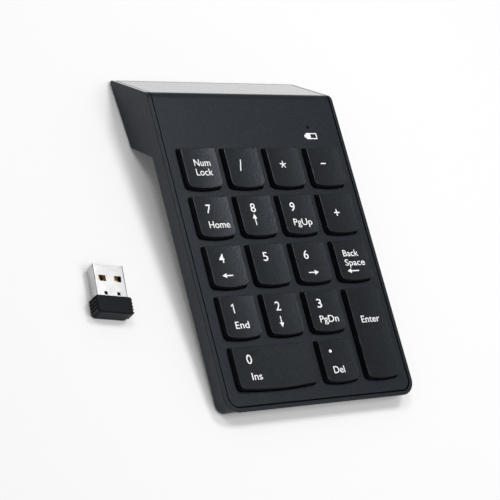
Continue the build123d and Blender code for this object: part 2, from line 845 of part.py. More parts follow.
with BuildPart() as support_plate:
    plate_back = bay_front_y - sheet_margin
    block(deck, (-sheet_half, sheet_half), (sheet_front, plate_back), (floor_top, plate_top))
write(support_plate.part, "support_plate")

# Circuit board and what is soldered to it
with BuildPart() as circuit_board:
    block(deck, (-board_width / 2, board_width / 2), (board_front, board_back), (board_bottom, board_top))
    post(deck, board_screw_places, board_hole, board_bottom, board_top, mode=Mode.SUBTRACT)
write(circuit_board.part, "circuit_board")


def on_board(name, place, size, count=1, pitch=0.0):
    # small square parts in a row on the upper face of the board, placed from its middle
    with BuildPart() as component:
        with BuildSketch(deck.offset(board_top)) as base:
            with Locations((place[0], board_y + place[1])):
                with GridLocations(pitch, 0, count, 1):
                    Rectangle(size[0], size[1])
        extrude(base.sketch, amount=size[2])
    write(component.part, name)


on_board("radio_chip", chip_place, (chip_side, chip_side, chip_height))
on_board("crystal", crystal_place, crystal_size)
on_board("board_capacitors", small_part_place, small_part_size, count=5, pitch=small_part_pitch)
lamp_offset = (lamp_place[0], lamp_place[1] - board_y)
on_board("status_lamp", lamp_offset, (small_part_size[0], small_part_size[1], lamp_height))

with BuildPart() as lamp_window:
    lens_radius = lamp_hole_radius - lamp_clearance
    post(deck, [lamp_place], lens_radius, board_top + lamp_height + lamp_gap, -lamp_clearance)
    post(deck, [lamp_place], lamp_flange_radius, -cover_wall - lamp_flange, -cover_wall)
write(lamp_window.part, "lamp_window")


def cell(name, y, direction):
    # a cell lying across the foot, with its nub towards one side
    nub_tip = bay_half - contact_clearance - contact_thickness - bump_height
    base_x = direction * (nub_tip - cell_length)
    base = Plane(origin=desk.from_local_coords((base_x, y, cell_height)), x_dir=(0, 1, 0), z_dir=(direction, 0, 0))
    with BuildPart() as body:
        post(base, [(0, 0)], cell_radius, 0, cell_length - cell_nub_length)
        fillet(body.edges().filter_by(GeomType.CIRCLE), radius=edge_radius)
        post(base, [(0, 0)], cell_nub_radius, cell_length - cell_nub_length, cell_length)
    write(body.part, name)


cell("battery_front", front_cell_y, 1)
cell("battery_rear", rear_cell_y, -1)


def contact_face(side):
    # plane on the face of the contact plates at one end of the bay, looking at the cells
    x = side * (bay_half - contact_clearance - contact_thickness)
    return Plane(origin=desk.from_local_coords((x, 0, cell_height)), x_dir=(0, 1, 0), z_dir=(-side, 0, 0))


def contact_plate(side, y_range, tail=False):
    # stamped plate behind one or both cells, with a tail up to the board
    face = contact_face(side)
    plate_end = bay_half - contact_clearance
    thickness_range = sorted((side * (plate_end - contact_thickness), side * plate_end))
    half = contact_height / 2
    block(desk, thickness_range, y_range, (cell_height - half, cell_height + half))
    if tail:
        tail_y = y_range[0] + contact_tail / 2
        tail_run = (tail_y + board_bottom * sin(tilt)) / cos(tilt)
        tail_top = side_point(tail_run, board_bottom)[1] - contact_tail / 2 * sin(tilt) - contact_clearance
        block(desk, thickness_range, (y_range[0], y_range[0] + contact_tail), (cell_height, tail_top))
    return face


def bump(face, y):
    # pressed bump that meets the nub of a cell
    with BuildSketch(face) as base:
        with Locations((y, 0)):
            Circle(bump_radius)
    extrude(base.sketch, amount=bump_height, taper=contact_taper)


def spring(face, y):
    # conical spring that presses on the flat end of a cell
    bite = spring_wire_radius / 2
    coil_height = spring_length - spring_wire_radius - bite - contact_clearance
    centre = face.from_local_coords((y, 0, bite))
    with BuildLine() as coil:
        Helix(
            pitch=coil_height / spring_turns,
            height=coil_height,
            radius=spring_radius,
            center=centre,
            direction=face.z_dir,
            cone_angle=-spring_cone,
        )
    turns = coil.wire()
    with BuildSketch(Plane(origin=turns @ 0, z_dir=turns % 0)) as section:
        Circle(spring_wire_radius)
    sweep(section.sketch, path=turns, is_frenet=True)


half_contact = contact_width / 2
with BuildPart() as contact_bridge:
    bridge_face = contact_plate(-1, (front_cell_y - half_contact, rear_cell_y + half_contact))
    bump(bridge_face, rear_cell_y)
    spring(bridge_face, front_cell_y)
write(contact_bridge.part, "contact_bridge")

with BuildPart() as contact_positive:
    positive_face = contact_plate(1, (front_cell_y - half_contact, front_cell_y + half_contact), tail=True)
    bump(positive_face, front_cell_y)
write(contact_positive.part, "contact_positive")

with BuildPart() as contact_negative:
    negative_face = contact_plate(1, (rear_cell_y - half_contact, rear_cell_y + half_contact), tail=True)
    spring(negative_face, rear_cell_y)
write(contact_negative.part, "contact_negative")

# Power switch on the floor of the foot, its knob and its leads
with BuildPart() as power_switch:
    switch_range_x = (switch_x - switch_length / 2, switch_x + switch_length / 2)
    switch_range_y = (switch_y - switch_depth / 2, switch_y + switch_depth / 2)
    switch_top = foot_floor_top + switch_height
    block(desk, switch_range_x, switch_range_y, (foot_floor_top, switch_top))
    knob_room = switch_slot_length / 2
    knob_side = switch_slot_depth / 2
    knob_top = foot_floor_top + switch_knob_height
    block(
        desk,
        (switch_x - knob_room, switch_x + knob_room),
        (switch_y - knob_side, switch_y + knob_side),
        (foot_floor_top, knob_top + contact_clearance),
        mode=Mode.SUBTRACT,
    )
write(power_switch.part, "power_switch")

with BuildPart() as switch_slider:
    knob_x = switch_x - switch_travel / 2
    block(
        desk,
        (knob_x - switch_knob_length / 2, knob_x + switch_knob_length / 2),
        (switch_y - switch_knob_depth / 2, switch_y + switch_knob_depth / 2),
        (desk_gap + switch_recess, knob_top),
    )
    fillet(switch_slider.faces().sort_by(Axis.Z)[0].edges(), radius=edge_radius / 2)
write(switch_slider.part, "switch_slider")

with BuildPart() as switch_leads:
    lead_run = (switch_y + board_bottom * sin(tilt)) / cos(tilt)
    lead_top = side_point(lead_run, board_bottom)[1] - lead_radius * sin(tilt) - contact_clearance
    leads = [(switch_x + step * lead_pitch, switch_y) for step in (-1, 0, 1)]
    post(desk, leads, lead_radius, switch_top, lead_top)
write(switch_leads.part, "switch_leads")


def screws(name, places, shank_radius, head_radius, seat, head_height, tip, plane):
    # identical pan-head screws; the head lies on the side of the seat away from the tip
    outward = 1 if seat > tip else -1
    with BuildPart() as screw:
        post(plane, places, shank_radius, min(seat, tip), max(seat, tip))
        head = sorted((seat, seat + outward * head_height))
        post(plane, places, head_radius, *head)
        slot = sorted((seat + outward * head_height / 2, seat + outward * head_height))
        for place in places:
            for size in ((head_radius, recess_width), (recess_width, head_radius)):
                cut_x = (place[0] - size[0] / 2, place[0] + size[0] / 2)
                cut_y = (place[1] - size[1] / 2, place[1] + size[1] / 2)
                block(plane, cut_x, cut_y, slot, mode=Mode.SUBTRACT)
    write(screw.part, name)


screws(
    "case_screws",
    screw_places,
    screw_radius,
    screw_head_radius,
    screw_seat_height,
    screw_head_height,
    -cover_wall,
    deck,
)
screws(
    "board_screws",
    board_screw_places,
    board_screw_radius,
    board_head_radius,
    board_top,
    board_head_height,
    board_post_bottom + screw_tip_gap,
    deck,
)

with BuildPart() as rubber_feet:
    post(desk, front_pads, pad_radius, 0, front_pad_top)
    post(desk, back_pads, pad_radius, 0, desk_gap + pad_recess)
write(rubber_feet.part, "rubber_feet")

# Receiver: lies beside the keypad with its plug towards the back
receiver = Plane(
    origin=(case_x - case_half - receiver_offset, front_y + receiver_y, 0),
    x_dir=(cos(turn), -sin(turn), 0),
    z_dir=(0, 0, 1),
)
plug_end = receiver_length / 2
cap_front = cap_length - plug_end
plug_base = cap_height / 2 - plug_height / 2
hold_start = cap_front - plug_hold


def plug_section(grow):
    # cross-section of the plug's shell, seen along the plug
    with BuildSketch() as outline:
        RectangleRounded(plug_width + 2 * grow, plug_height + 2 * grow, plug_radius + grow)
    return outline.sketch


along = Plane(
    origin=receiver.from_local_coords((0, hold_start, cap_height / 2)),
    x_dir=-receiver.x_dir,
    z_dir=receiver.y_dir,
)
with BuildPart() as receiver_shell:
    shell_length = plug_end - hold_start
    prism(along, 0, shell_length, plug_section(0))
    prism(along, 0, shell_length, plug_section(-plug_wall), mode=Mode.SUBTRACT)
    window_y = plug_end - plug_window_inset
    with BuildSketch(receiver):
        with Locations((0, window_y)):
            with GridLocations(plug_window_pitch, 0, 2, 1):
                Rectangle(plug_window_width, plug_window_length)
        with Locations((0, cap_front + plug_notch_gap + plug_notch_length / 2)):
            with GridLocations(plug_notch_pitch, 0, 2, 1):
                Rectangle(plug_notch_width, plug_notch_length)
    extrude(amount=cap_height, mode=Mode.SUBTRACT)
write(receiver_shell.part, "receiver_shell")

with BuildPart() as receiver_tongue:
    tongue_base = plug_base + plug_wall + tongue_gap
    tongue_side = plug_width / 2 - plug_wall - tongue_gap
    tongue_start = cap_front - plug_hold / 2
    tongue_y = (tongue_start, plug_end - plug_wall)
    block(receiver, (-tongue_side, tongue_side), tongue_y, (tongue_base, tongue_base + tongue_height))
    tongue_edges = receiver_tongue.edges().filter_by(Axis((0, 0, 0), receiver.y_dir)).group_by(Axis.Z)[0]
    fillet(tongue_edges, radius=plug_radius)
write(receiver_tongue.part, "receiver_tongue")

with BuildPart() as receiver_contacts:
    tongue_top = tongue_base + tongue_height
    for x in gold_places:
        strip_x = (x - gold_width / 2, x + gold_width / 2)
        strip_y = (tongue_y[1] - tongue_gap - gold_length, tongue_y[1] - plug_wall)
        block(receiver, strip_x, strip_y, (tongue_top, tongue_top + gold_thickness))
write(receiver_contacts.part, "receiver_contacts")

with BuildPart() as receiver_board:
    stick_x = receiver_board_size[0] / 2
    stick_y = (tongue_start - tongue_gap - receiver_board_size[1], tongue_start - tongue_gap)
    stick_z = (tongue_base, tongue_base + receiver_board_size[2])
    block(receiver, (-stick_x, stick_x), stick_y, stick_z)
write(receiver_board.part, "receiver_board")

with BuildPart() as receiver_cap:
    body_half = cap_width / 2 - cap_rib
    block(receiver, (-body_half, body_half), (-plug_end, cap_front), (0, cap_height))
    corner_edges = receiver_cap.edges().filter_by(Axis.Z).group_by(Axis((0, 0, 0), receiver.y_dir))
    fillet(corner_edges[0], radius=cap_radius)
    fillet(corner_edges[-1], radius=cap_end_radius)
    fillet(receiver_cap.faces().sort_by(Axis.Z)[-1].edges(), radius=cap_edge)
    fillet(receiver_cap.faces().sort_by(Axis.Z)[0].edges(), radius=cap_edge)
    step_range = (cap_front - cap_step_length, cap_front)
    step_height = (cap_height - cap_step, cap_height)
    block(receiver, (-cap_width / 2, cap_width / 2), step_range, step_height, mode=Mode.SUBTRACT)
    rib_middle = -plug_end + cap_length / 2
    with BuildSketch(receiver.offset(cap_edge)):
        with Locations((0, rib_middle)):
            with GridLocations(2 * body_half, cap_rib_pitch, 2, cap_ribs):
                Rectangle(2 * cap_rib, cap_rib_width)
    extrude(amount=cap_height - 2 * cap_edge)
    prism(along, 0, plug_hold, plug_section(tongue_gap), mode=Mode.SUBTRACT)
    board_room = receiver_board_clearance
    block(
        receiver,
        (-stick_x - board_room, stick_x + board_room),
        (stick_y[0] - board_room, hold_start),
        (stick_z[0] - board_room, stick_z[1] + 2 * board_room),
        mode=Mode.SUBTRACT,
    )
write(receiver_cap.part, "receiver_cap")
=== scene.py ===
import json
import math

import bmesh
import bpy
from mathutils import Matrix, Vector
from mathutils.bvhtree import BVHTree

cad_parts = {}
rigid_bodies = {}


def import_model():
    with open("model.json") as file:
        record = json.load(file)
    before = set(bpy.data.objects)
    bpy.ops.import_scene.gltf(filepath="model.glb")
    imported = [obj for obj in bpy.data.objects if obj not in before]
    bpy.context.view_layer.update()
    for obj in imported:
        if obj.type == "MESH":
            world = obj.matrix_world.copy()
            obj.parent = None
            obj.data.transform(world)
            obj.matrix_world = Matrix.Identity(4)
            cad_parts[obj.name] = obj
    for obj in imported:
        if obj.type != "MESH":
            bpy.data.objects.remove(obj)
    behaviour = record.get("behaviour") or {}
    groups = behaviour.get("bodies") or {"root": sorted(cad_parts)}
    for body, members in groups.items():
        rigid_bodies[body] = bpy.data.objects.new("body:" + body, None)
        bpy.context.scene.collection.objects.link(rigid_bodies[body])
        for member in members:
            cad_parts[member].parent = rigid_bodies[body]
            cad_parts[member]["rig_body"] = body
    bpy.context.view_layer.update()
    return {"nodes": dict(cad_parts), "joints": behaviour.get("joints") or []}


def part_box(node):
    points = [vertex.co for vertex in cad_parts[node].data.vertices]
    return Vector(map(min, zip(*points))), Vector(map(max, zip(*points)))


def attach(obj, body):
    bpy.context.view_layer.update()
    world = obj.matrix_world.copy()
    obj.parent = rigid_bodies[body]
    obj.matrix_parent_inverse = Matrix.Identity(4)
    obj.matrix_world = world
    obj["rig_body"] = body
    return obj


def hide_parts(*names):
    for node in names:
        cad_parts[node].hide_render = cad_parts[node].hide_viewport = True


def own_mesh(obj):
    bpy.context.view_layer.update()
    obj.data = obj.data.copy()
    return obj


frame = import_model()
nodes = frame["nodes"]
keyNodes = sorted(name for name in nodes if name.startswith("key_"))
mm = 0.001
print("frame loaded:", len(nodes), "nodes")

# the deck leans towards the user, and every key travels straight into it
travel = next(joint["axis"] for joint in frame["joints"] if joint["name"] == "press_5")
deckUp = -Vector(travel)
deckRight = Vector((1.0, 0.0, 0.0))
deckBack = deckUp.cross(deckRight)


def deckSpan(nodeName):
    # lowest and highest place of a node along the deck's right, back and up
    points = [vertex.co for vertex in nodes[nodeName].data.vertices]
    spans = []
    for direction in (deckRight, deckBack, deckUp):
        places = [point.dot(direction) for point in points]
        spans.append((min(places), max(places)))
    return spans


def deckMiddle(nodeName):
    # middle of a node as seen from straight above the deck
    across, along = deckSpan(nodeName)[:2]
    return sum(across) / 2, sum(along) / 2


def deckPoint(right, back, up):
    # place in the room of a point given along the deck's three directions
    return deckRight * right + deckBack * back + deckUp * up


def linearColor(code):
    # sRGB hex to the linear values that the shaders use
    values = [int(code[i:i + 2], 16) / 255 for i in (1, 3, 5)]
    return [v / 12.92 if v <= 0.04045 else ((v + 0.055) / 1.055) ** 2.4 for v in values] + [1.0]


def addNode(tree, kind, settings=None, links=None):
    # settings are properties or input values, links are input name or number to output socket
    node = tree.nodes.new(kind)
    for name, value in (settings or {}).items():
        if name in node.inputs:
            node.inputs[name].default_value = value
        else:
            setattr(node, name, value)
    for name, socket in (links or {}).items():
        tree.links.new(socket, node.inputs[name])
    return node


def startMaterial(name):
    material = bpy.data.materials.new(name)
    material.use_nodes = True
    tree = material.node_tree
    tree.nodes.clear()
    shader = addNode(tree, "ShaderNodeBsdfPrincipled")
    addNode(tree, "ShaderNodeOutputMaterial", links={"Surface": shader.outputs[0]})
    place = addNode(tree, "ShaderNodeTexCoord").outputs["Object"]
    return material, tree, shader, place


def noiseOf(tree, place, sizeMm, detail=2.0):
    # smooth random values whose features are about sizeMm across
    settings = {"Scale": 1 / (sizeMm * mm), "Detail": detail}
    return addNode(tree, "ShaderNodeTexNoise", settings, {"Vector": place}).outputs["Fac"]


def rampOf(tree, factor, stops):
    # colour ramp from a list of (position, hex)
    ramp = addNode(tree, "ShaderNodeValToRGB", links={"Fac": factor})
    while len(ramp.color_ramp.elements) < len(stops):
        ramp.color_ramp.elements.new(0.5)
    for element, (position, code) in zip(ramp.color_ramp.elements, stops):
        element.position = position
        element.color = linearColor(code)
    return ramp.outputs["Color"]


def rangeOf(tree, factor, low, high, start=0.0, stop=1.0):
    # low to high while the factor goes from start to stop
    settings = {"From Min": start, "From Max": stop, "To Min": low, "To Max": high}
    return addNode(tree, "ShaderNodeMapRange", settings, {"Value": factor}).outputs["Result"]


def combine(tree, operation, first, second):
    return addNode(tree, "ShaderNodeMath", {"operation": operation}, {0: first, 1: second}).outputs[0]


def addBump(tree, shader, height, depthMm):
    bump = addNode(tree, "ShaderNodeBump", {"Distance": depthMm * mm}, {"Height": height})
    tree.links.new(bump.outputs["Normal"], shader.inputs["Normal"])


plasticLook = {
    "broadMm": 14.0,  # size of the patches in which the gloss drifts
    "grainDetail": 4.0,
    "speckle": (0.35, 0.65),  # grain values at which the colour is fully dark and fully light
    "ior": 1.53,
    "tint": "#dbe7f4",  # black ABS shines a little blue
    "lowAngle": (0.66, 0.77),  # how far the surface is turned away where its shine begins and is full
    "lowRough": 0.4,  # share of the roughness left there
    "coatRough": 0.2,
    "coatIor": 1.75,
}

# grains are finer than a millimetre, and a little coarser here than the real ones so that they show
mouldedPlastics = {
    # satin black ABS of the housing: spark-eroded grain, bluish charcoal, which shines at a low angle
    "satinBlackAbs": {
        "dark": "#0e1115", "light": "#1c2026", "rough": (0.42, 0.48),
        "grainMm": 0.9, "depthMm": 0.05, "shine": 0.33, "lowShine": 1.0,
    },
    # matt black ABS of the keys: drier grain, so that the hollow tops shade softly
    "mattBlackAbs": {
        "dark": "#050608", "light": "#16181b", "rough": (0.29, 0.34), "grainMm": 0.9, "depthMm": 0.05,
    },
    # plain black ABS of the receiver's cap: even and nearly without shine
    "plainBlackAbs": {
        "dark": "#08090a", "light": "#0d0e10", "rough": (0.42, 0.5),
        "grainMm": 0.6, "depthMm": 0.01, "shine": 0.15,
    },
    # soft black rubber of the pads: dusty and dull
    "blackRubber": {
        "dark": "#17171a", "light": "#1f2022", "rough": (0.75, 0.85), "grainMm": 0.5, "depthMm": 0.02,
    },
    # grey silicone of the dome sheet: milky and smooth
    "greySilicone": {
        "dark": "#a9adb1", "light": "#b6babd", "rough": (0.42, 0.5), "grainMm": 2.0, "depthMm": 0.005,
    },
    # black moulding compound of the radio chip: gritty and dull
    "epoxyCompound": {
        "dark": "#1a1a1b", "light": "#232325", "rough": (0.55, 0.65), "grainMm": 0.15, "depthMm": 0.01,
    },
    # glass-filled insulator of the plug: brown where light gets in
    "brownInsulator": {
        "dark": "#45190f", "light": "#5c2a1c", "rough": (0.4, 0.5), "grainMm": 0.3, "depthMm": 0.004,
    },
    # white pad-printing ink: flat and slightly uneven
    "whiteInk": {
        "dark": "#f8f8f7", "light": "#fefefd", "rough": (0.5, 0.6), "grainMm": 0.25, "depthMm": 0.002,
    },
}


def mouldedPlastic(name):
    # injection-moulded or printed plastic: its grain speckles the colour and breaks up the gloss
    look = mouldedPlastics[name]
    material, tree, shader, place = startMaterial(name)
    grain = noiseOf(tree, place, look["grainMm"], plasticLook["grainDetail"])
    dark, light = plasticLook["speckle"]
    color = rampOf(tree, grain, [(dark, look["dark"]), (light, look["light"])])
    tree.links.new(color, shader.inputs["Base Color"])
    rough = rangeOf(tree, noiseOf(tree, place, plasticLook["broadMm"]), *look["rough"])
    if "lowShine" in look:
        # grain hides behind itself at a low angle, so that the surface turns glossy there
        facing = addNode(tree, "ShaderNodeLayerWeight", {"Blend": 0.5}).outputs["Facing"]
        shine = rangeOf(tree, facing, 0.0, look["lowShine"], *plasticLook["lowAngle"])
        tree.links.new(shine, shader.inputs["Coat Weight"])
        shader.inputs["Coat Roughness"].default_value = plasticLook["coatRough"]
        shader.inputs["Coat IOR"].default_value = plasticLook["coatIor"]
        smoother = rangeOf(tree, facing, 1.0, plasticLook["lowRough"], *plasticLook["lowAngle"])
        rough = combine(tree, "MULTIPLY", rough, smoother)
    tree.links.new(rough, shader.inputs["Roughness"])
    shader.inputs["IOR"].default_value = plasticLook["ior"]
    shader.inputs["Specular IOR Level"].default_value = look.get("shine", 0.5)
    shader.inputs["Specular Tint"].default_value = linearColor(plasticLook["tint"])
    addBump(tree, shader, grain, look["depthMm"])
    return material


metalLook = {
    "broadMm": 5.0,  # size of the patches in which the tone drifts
    "drift": (0.3, 0.7),  # values at which the tone is fully dark and fully light
    "streakDetail": 3.0,
    "depthMm": 0.004,
}

metals = {
    # nickel plate on the plug's shell: warm grey, with faint rolling lines along the plug
    "nickelPlate": {"dark": "#b4b4b4", "light": "#c9c9c9", "rough": (0.3, 0.42), "lineMm": (0.3, 6.0)},
    # zinc plate on screws and the support plate: bluish grey
    "zincPlate": {"dark": "#a6abb1", "light": "#c3c8cc", "rough": (0.3, 0.42), "lineMm": (0.4, 0.4)},
    # drawn stainless wire and spring strip: bright, with lines along it
    "springSteel": {"dark": "#b4b5b4", "light": "#cfd0cf", "rough": (0.2, 0.3), "lineMm": (0.2, 3.0)},
    # flash gold over nickel on the plug's contacts: pale and soft
    "goldFlash": {"dark": "#eec47c", "light": "#fbe0a6", "rough": (0.38, 0.48), "lineMm": (0.2, 2.0)},
    # tinned cans: light grey and even
    "tinPlate": {"dark": "#bdbfbf", "light": "#d5d6d5", "rough": (0.25, 0.35), "lineMm": (0.3, 0.3)},
}


def plateMetal(name):
    # metal whose polish varies in streaks: lineMm is the streak's width and length
    look = metals[name]
    material, tree, shader, place = startMaterial(name)
    across, along = look["lineMm"]
    stretch = addNode(tree, "ShaderNodeMapping", {"Scale": (1.0, across / along, 1.0)}, {"Vector": place})
    streaks = noiseOf(tree, stretch.outputs["Vector"], across, metalLook["streakDetail"])
    broad = noiseOf(tree, place, metalLook["broadMm"])
    dark, light = metalLook["drift"]
    color = rampOf(tree, broad, [(dark, look["dark"]), (light, look["light"])])
    tree.links.new(color, shader.inputs["Base Color"])
    tree.links.new(rangeOf(tree, streaks, *look["rough"]), shader.inputs["Roughness"])
    shader.inputs["Metallic"].default_value = 1.0
    addBump(tree, shader, streaks, metalLook["depthMm"])
    return material


smoothFinishes = {
    # smoke-tinted clear plastic: nearly black until the lamp behind it is lit
    "smokeLens": {
        "colors": [(0.3, "#050506"), (0.7, "#09090b")],
        "cloudMm": 1.0, "rough": 0.12, "ior": 1.49, "shine": 0.15,
    },
    # water-clear epoxy over a pale ceramic base: creamy and wet
    "lampEpoxy": {
        "colors": [(0.35, "#f2e6c9"), (0.65, "#fbf6e9")],
        "cloudMm": 0.6, "rough": 0.15, "ior": 1.5, "shine": 0.5,
    },
    # tan ceramic of the small capacitors: mottled and half dull
    "tanCeramic": {
        "colors": [(0.3, "#8d6b47"), (0.7, "#a5805a")],
        "cloudMm": 0.4, "rough": 0.45, "ior": 1.5, "shine": 0.5,
    },
}


def smoothFinish(name):
    look = smoothFinishes[name]
    material, tree, shader, place = startMaterial(name)
    color = rampOf(tree, noiseOf(tree, place, look["cloudMm"]), look["colors"])
    tree.links.new(color, shader.inputs["Base Color"])
    shader.inputs["Roughness"].default_value = look["rough"]
    shader.inputs["IOR"].default_value = look["ior"]
    shader.inputs["Specular IOR Level"].default_value = look["shine"]
    return material


bandedFinishes = {
    # plain film sleeve round a cell: two colours that meet in a band, and bare steel at its end
    "cellSleeve": {
        "across": "battery_front", "blend": "LINEAR", "rough": 0.28, "coat": 0.4,
        "bands": [(0.0, "#9aa0a6"), (0.03, "#22305c"), (0.72, "#22305c"), (0.73, "#b26a35")],
    },
    # PVC sleeves of the three leads: red, black and white side by side
    "pvcLead": {
        "across": "switch_leads", "blend": "CONSTANT", "rough": 0.4, "coat": 0.0,
        "bands": [(0.0, "#a3211b"), (0.33, "#1b1b1d"), (0.66, "#d9d9d5")],
    },
}


def bandedFinish(name):
    # colours in bands from one end of a node to the other
    look = bandedFinishes[name]
    material, tree, shader, place = startMaterial(name)
    low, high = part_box(look["across"])
    sideways = addNode(tree, "ShaderNodeSeparateXYZ", links={"Vector": place}).outputs["X"]
    color = rampOf(tree, rangeOf(tree, sideways, 0.0, 1.0, low.x, high.x), look["bands"])
    color.node.color_ramp.interpolation = look["blend"]
    tree.links.new(color, shader.inputs["Base Color"])
    shader.inputs["Roughness"].default_value = look["rough"]
    shader.inputs["Coat Weight"].default_value = look["coat"]
    return material


boardLook = {
    "mask": ("#0d4a26", "#0f5229"), "track": "#1d7a41", "trackMm": 6.0, "trackShare": 0.03,
    "rough": 0.3, "ior": 1.55, "depthMm": 0.03,
}


def solderMask():
    # green solder mask over copper: tracks show as slightly lighter lines
    material, tree, shader, place = startMaterial("solderMask")
    first, second = boardLook["mask"]
    settings = {
        "Scale": 1 / (boardLook["trackMm"] * mm), "Mortar Size": boardLook["trackShare"],
        "Color1": linearColor(first), "Color2": linearColor(second),
        "Mortar": linearColor(boardLook["track"]),
    }
    tracks = addNode(tree, "ShaderNodeTexBrick", settings, {"Vector": place})
    tree.links.new(tracks.outputs["Color"], shader.inputs["Base Color"])
    shader.inputs["Roughness"].default_value = boardLook["rough"]
    shader.inputs["IOR"].default_value = boardLook["ior"]
    addBump(tree, shader, tracks.outputs["Fac"], boardLook["depthMm"])
    return material


filmLook = {
    "colors": [(0.0, "#c9d3d3"), (0.86, "#c9d3d3"), (0.92, "#8f9496")],
    "waveMm": 60.0, "wander": 1.5, "rough": 0.18, "ior": 1.58,
}


def polyesterFilm():
    # clear polyester film, milky in a stack, with silver ink tracks every few millimetres
    material, tree, shader, place = startMaterial("polyesterFilm")
    settings = {
        "Scale": 1 / (filmLook["waveMm"] * mm), "Distortion": filmLook["wander"], "bands_direction": "Y",
    }
    waves = addNode(tree, "ShaderNodeTexWave", settings, {"Vector": place})
    tree.links.new(rampOf(tree, waves.outputs["Fac"], filmLook["colors"]), shader.inputs["Base Color"])
    shader.inputs["Roughness"].default_value = filmLook["rough"]
    shader.inputs["IOR"].default_value = filmLook["ior"]
    return material


materials = {name: mouldedPlastic(name) for name in mouldedPlastics}
materials.update({name: plateMetal(name) for name in metals})
materials.update({name: smoothFinish(name) for name in smoothFinishes})
materials.update({name: bandedFinish(name) for name in bandedFinishes})
materials.update({"solderMask": solderMask(), "polyesterFilm": polyesterFilm()})

nodeFinishes = {
    "satinBlackAbs": ["top_cover", "bottom_case", "battery_door"],
    "mattBlackAbs": keyNodes,
    "plainBlackAbs": ["receiver_cap", "switch_slider"],
    "blackRubber": ["rubber_feet"],
    "greySilicone": ["dome_sheet"],
    "epoxyCompound": ["radio_chip"],
    "brownInsulator": ["receiver_tongue"],
    "nickelPlate": ["receiver_shell"],
    "zincPlate": ["support_plate", "case_screws", "board_screws"],
    "springSteel": [
        "stabiliser_0", "stabiliser_enter", "contact_bridge", "contact_positive", "contact_negative",
    ],
    "goldFlash": ["receiver_contacts"],
    "tinPlate": ["crystal", "power_switch"],
    "solderMask": ["circuit_board", "receiver_board"],
    "polyesterFilm": ["membrane_lower", "membrane_spacer", "membrane_upper"],
    "cellSleeve": ["battery_front", "battery_rear"],
    "pvcLead": ["switch_leads"],
    "smokeLens": ["lamp_window"],
    "lampEpoxy": ["status_lamp"],
    "tanCeramic": ["board_capacitors"],
}
for finish, names in nodeFinishes.items():
    for name in names:
        for slot in nodes[name].material_slots:
            slot.material = materials[finish]
print("materials made:", len(materials))

cameraLook = {
    "lensMm": 130.76,
    "sensorMm": 36.0,
    "nearest": 0.01,
    "fromKeyMm": (-389.17, -229.94, 473.18),  # from the middle of key 5 to the eye
    "headingDeg": 58.34,  # from +Y towards +X
    "downDeg": 46.38,
    "rollDeg": 47.07,
}


def placeObject(name, data):
    thing = bpy.data.objects.new(name, data)
    bpy.context.scene.collection.objects.link(thing)
    return thing


def makeCamera():
    data = bpy.data.cameras.new("camera")
    data.lens = cameraLook["lensMm"]
    data.sensor_width = cameraLook["sensorMm"]
    data.clip_start = cameraLook["nearest"]
    angles = ("headingDeg", "downDeg", "rollDeg")
    heading, down, roll = (math.radians(cameraLook[name]) for name in angles)
    level = math.cos(down)
    forward = Vector((math.sin(heading) * level, math.cos(heading) * level, -math.sin(down)))
    turn = Matrix.Rotation(-roll, 3, forward) @ forward.to_track_quat("-Z", "Y").to_matrix()
    low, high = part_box("key_5")
    eye = (low + high) / 2 + Vector(cameraLook["fromKeyMm"]) * mm
    camera = placeObject("camera", data)
    camera.matrix_world = Matrix.Translation(eye) @ turn.to_4x4()
    bpy.context.scene.camera = camera


makeCamera()
mergeMm = 0.0005  # points nearer than this are one


def meshOf(bm, name):
    mesh = bpy.data.meshes.new(name)
    bm.to_mesh(mesh)
    bm.free()
    return mesh


def meshPiece(name, bm, material, body):
    # finishes a bmesh as a piece that rides on a body
    bmesh.ops.remove_doubles(bm, verts=bm.verts, dist=mergeMm * mm)
    bmesh.ops.recalc_face_normals(bm, faces=bm.faces)
    mesh = meshOf(bm, name)
    mesh.materials.append(material)
    piece = placeObject(name, mesh)
    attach(piece, body)
    return piece


def raisedShape(outlines, thickness):
    # flat shape inside the first outline and outside the others, given a thickness
    bm = bmesh.new()
    edges = []
    for outline in outlines:
        corners = [bm.verts.new((x, y, 0.0)) for x, y in outline]
        edges += [bm.edges.new((corners[i - 1], corner)) for i, corner in enumerate(corners)]
    filled = bmesh.ops.triangle_fill(bm, edges=edges, use_beauty=True, normal=(0.0, 0.0, 1.0))
    faces = [item for item in filled["geom"] if isinstance(item, bmesh.types.BMFace)]
    raised = bmesh.ops.extrude_face_region(bm, geom=faces)
    lifted = [item for item in raised["geom"] if isinstance(item, bmesh.types.BMVert)]
    bmesh.ops.translate(bm, verts=lifted, vec=(0.0, 0.0, thickness))
    return bm


domeLook = {
    "webMm": 0.3,
    "footRadius": 4.0,
    "headRadius": 2.0,
    "headEdge": 0.95,  # share of the head that is flat
    "wallMm": 0.5,
    "roofMm": 0.8,
    "steps": 32,
    "headGapMm": 0.02,  # from a dome's head to its key
    "pressedShare": 0.19,  # height left of a dome under a pressed key
}


def addWeb(centres, hole, bottom, webTop):
    # thin sheet between the domes, which stays still
    (left, right), (front, back) = deckSpan("dome_sheet")[:2]
    outlines = [[(left, front), (right, front), (right, back), (left, back)]]
    angles = [2 * math.pi * i / domeLook["steps"] for i in range(domeLook["steps"])]
    for x, y in centres.values():
        outlines.append([(x + hole * math.cos(angle), y + hole * math.sin(angle)) for angle in angles])
    bm = raisedShape(outlines, webTop - bottom)
    for vertex in bm.verts:
        vertex.co = deckPoint(vertex.co.x, vertex.co.y, bottom + vertex.co.z)
    web = meshPiece("dome_web", bm, materials["greySilicone"], "housing")
    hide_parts("dome_sheet")


